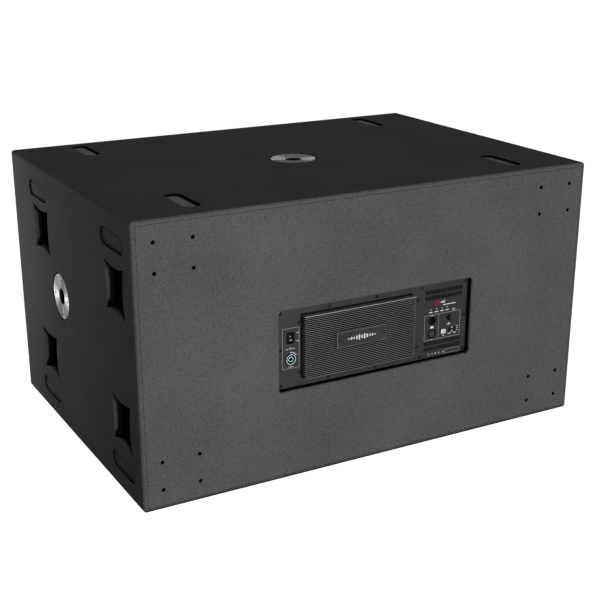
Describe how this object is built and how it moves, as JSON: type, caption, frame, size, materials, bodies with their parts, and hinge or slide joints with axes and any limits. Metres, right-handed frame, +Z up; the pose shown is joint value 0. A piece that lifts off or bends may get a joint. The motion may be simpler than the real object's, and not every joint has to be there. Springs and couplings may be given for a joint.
{
  "type": "powered double subwoofer",
  "caption": "Powered double bass cabinet with front grille, rear amplifier plate, hand holes, skid feet, stacking recesses and pole sockets.",
  "frame": {"origin": "on the floor, under the centre of the cabinet", "axes": "+Z up, -Y towards the amplifier side, +Y towards the grille side, +X to the right as seen from behind"},
  "size_m": [1.084, 0.7643, 0.6],
  "materials": {
    "cabinet_paint": "fine textured black paint on birch plywood",
    "raw_plywood": "bare birch plywood",
    "rubber": "matt black rubber",
    "cup_plastic": "matt black moulded plastic",
    "turned_aluminium": "turned, with fine concentric tool marks",
    "grille_steel": "black powder-coated perforated steel",
    "plate_paint": "dark grey powder coat with light printing",
    "black_anodised": "black anodised",
    "nameplate_aluminium": "brushed, tinted dark grey, bright cut edges",
    "black_plastic": "satin black moulded plastic",
    "inlet_blue": "blue and black moulded plastic",
    "usb_white": "white moulded plastic",
    "circuit_green": "solder mask",
    "basket_paint": "black powder-coated casting",
    "ferrite": "dark ground ferrite",
    "motor_steel": "plated steel",
    "cone_paper": "black pressed paper pulp",
    "surround_cloth": "treated cloth",
    "spider_cloth": "resin-treated woven cloth",
    "coil_copper": "enamelled copper winding"
  },
  "bodies": {
    "cabinet": {"top_panel": "cabinet_paint", "bottom_panel": "cabinet_paint", "left_panel": "cabinet_paint", "right_panel": "cabinet_paint", "rear_panel": "cabinet_paint", "front_baffle": "cabinet_paint", "foot_front_left": "rubber", "foot_front_right": "rubber", "foot_rear_left": "rubber", "foot_rear_right": "rubber", "side_foot_front_upper": "rubber", "side_foot_front_lower": "rubber", "side_foot_rear_upper": "rubber", "side_foot_rear_lower": "rubber", "handle_cup_left_front_upper": "cup_plastic", "handle_cup_left_front_lower": "cup_plastic", "handle_cup_left_rear_upper": "cup_plastic", "handle_cup_left_rear_lower": "cup_plastic", "handle_cup_right_front_upper": "cup_plastic", "handle_cup_right_front_lower": "cup_plastic", "handle_cup_right_rear_upper": "cup_plastic", "handle_cup_right_rear_lower": "cup_plastic", "port_duct": "cabinet_paint", "front_grille": "grille_steel", "pole_socket_top": "turned_aluminium", "pole_socket_side": "turned_aluminium", "left_driver_basket": "basket_paint", "left_driver_magnet": "ferrite", "left_driver_yoke": "motor_steel", "left_driver_surround": "surround_cloth", "left_driver_spider": "spider_cloth", "right_driver_basket": "basket_paint", "right_driver_magnet": "ferrite", "right_driver_yoke": "motor_steel", "right_driver_surround": "surround_cloth", "right_driver_spider": "spider_cloth", "amp_plate": "plate_paint", "input_board": "circuit_green", "nameplate": "nameplate_aluminium", "heatsink": "black_anodised", "circuit_board": "circuit_green", "amp_chamber": "raw_plywood", "fan_frame": "black_plastic", "rocker_bezel": "black_plastic", "power_inlet": "inlet_blue", "xlr_input": "black_plastic", "xlr_output": "black_plastic", "usb_socket": "usb_white"},
    "rocker": {"rocker_paddle": "black_plastic"},
    "latch": {"xlr_latch": "motor_steel"},
    "knob": {"gain_knob": "black_plastic"},
    "phase_switch": {"phase_slider": "black_plastic"},
    "filter_switch": {"filter_slider": "black_plastic"},
    "left_cone": {"left_driver_cone": "cone_paper", "left_driver_dust_cap": "cone_paper", "left_driver_voice_coil": "coil_copper"},
    "right_cone": {"right_driver_cone": "cone_paper", "right_driver_dust_cap": "cone_paper", "right_driver_voice_coil": "coil_copper"},
    "fan": {"fan_rotor": "black_plastic"}
  },
  "joints": [
    {"name": "rocker_tilt", "type": "hinge", "parent": "cabinet", "child": "rocker", "pos_m": [-0.202, -0.3605, 0.313], "axis": [1, 0, 0], "range_deg": [0, 20]},
    {"name": "knob_turn", "type": "hinge", "parent": "cabinet", "child": "knob", "pos_m": [0.192, -0.365, 0.29], "axis": [0, -1, 0], "range_deg": [-150, 150]},
    {"name": "phase_slide", "type": "slide", "parent": "cabinet", "child": "phase_switch", "axis": [0, 0, -1], "range_m": [0, 0.0044]},
    {"name": "filter_slide", "type": "slide", "parent": "cabinet", "child": "filter_switch", "axis": [0, 0, 1], "range_m": [-0.0022, 0.0022]},
    {"name": "latch_press", "type": "slide", "parent": "cabinet", "child": "latch", "axis": [0, 1, 0], "range_m": [0, 0.0015], "stiffness_N_per_m": 400},
    {"name": "left_cone_travel", "type": "slide", "parent": "cabinet", "child": "left_cone", "axis": [0, 1, 0], "range_m": [-0.012, 0.012], "stiffness_N_per_m": 6500, "deforming": ["left_driver_surround", "left_driver_spider"]},
    {"name": "right_cone_travel", "type": "slide", "parent": "cabinet", "child": "right_cone", "axis": [0, 1, 0], "range_m": [-0.012, 0.012], "stiffness_N_per_m": 6500, "deforming": ["right_driver_surround", "right_driver_spider"]},
    {"name": "fan_spin", "type": "hinge", "parent": "cabinet", "child": "fan", "pos_m": [0.115, -0.29, 0.29], "axis": [1, 0, 0], "continuous": true}
  ]
}
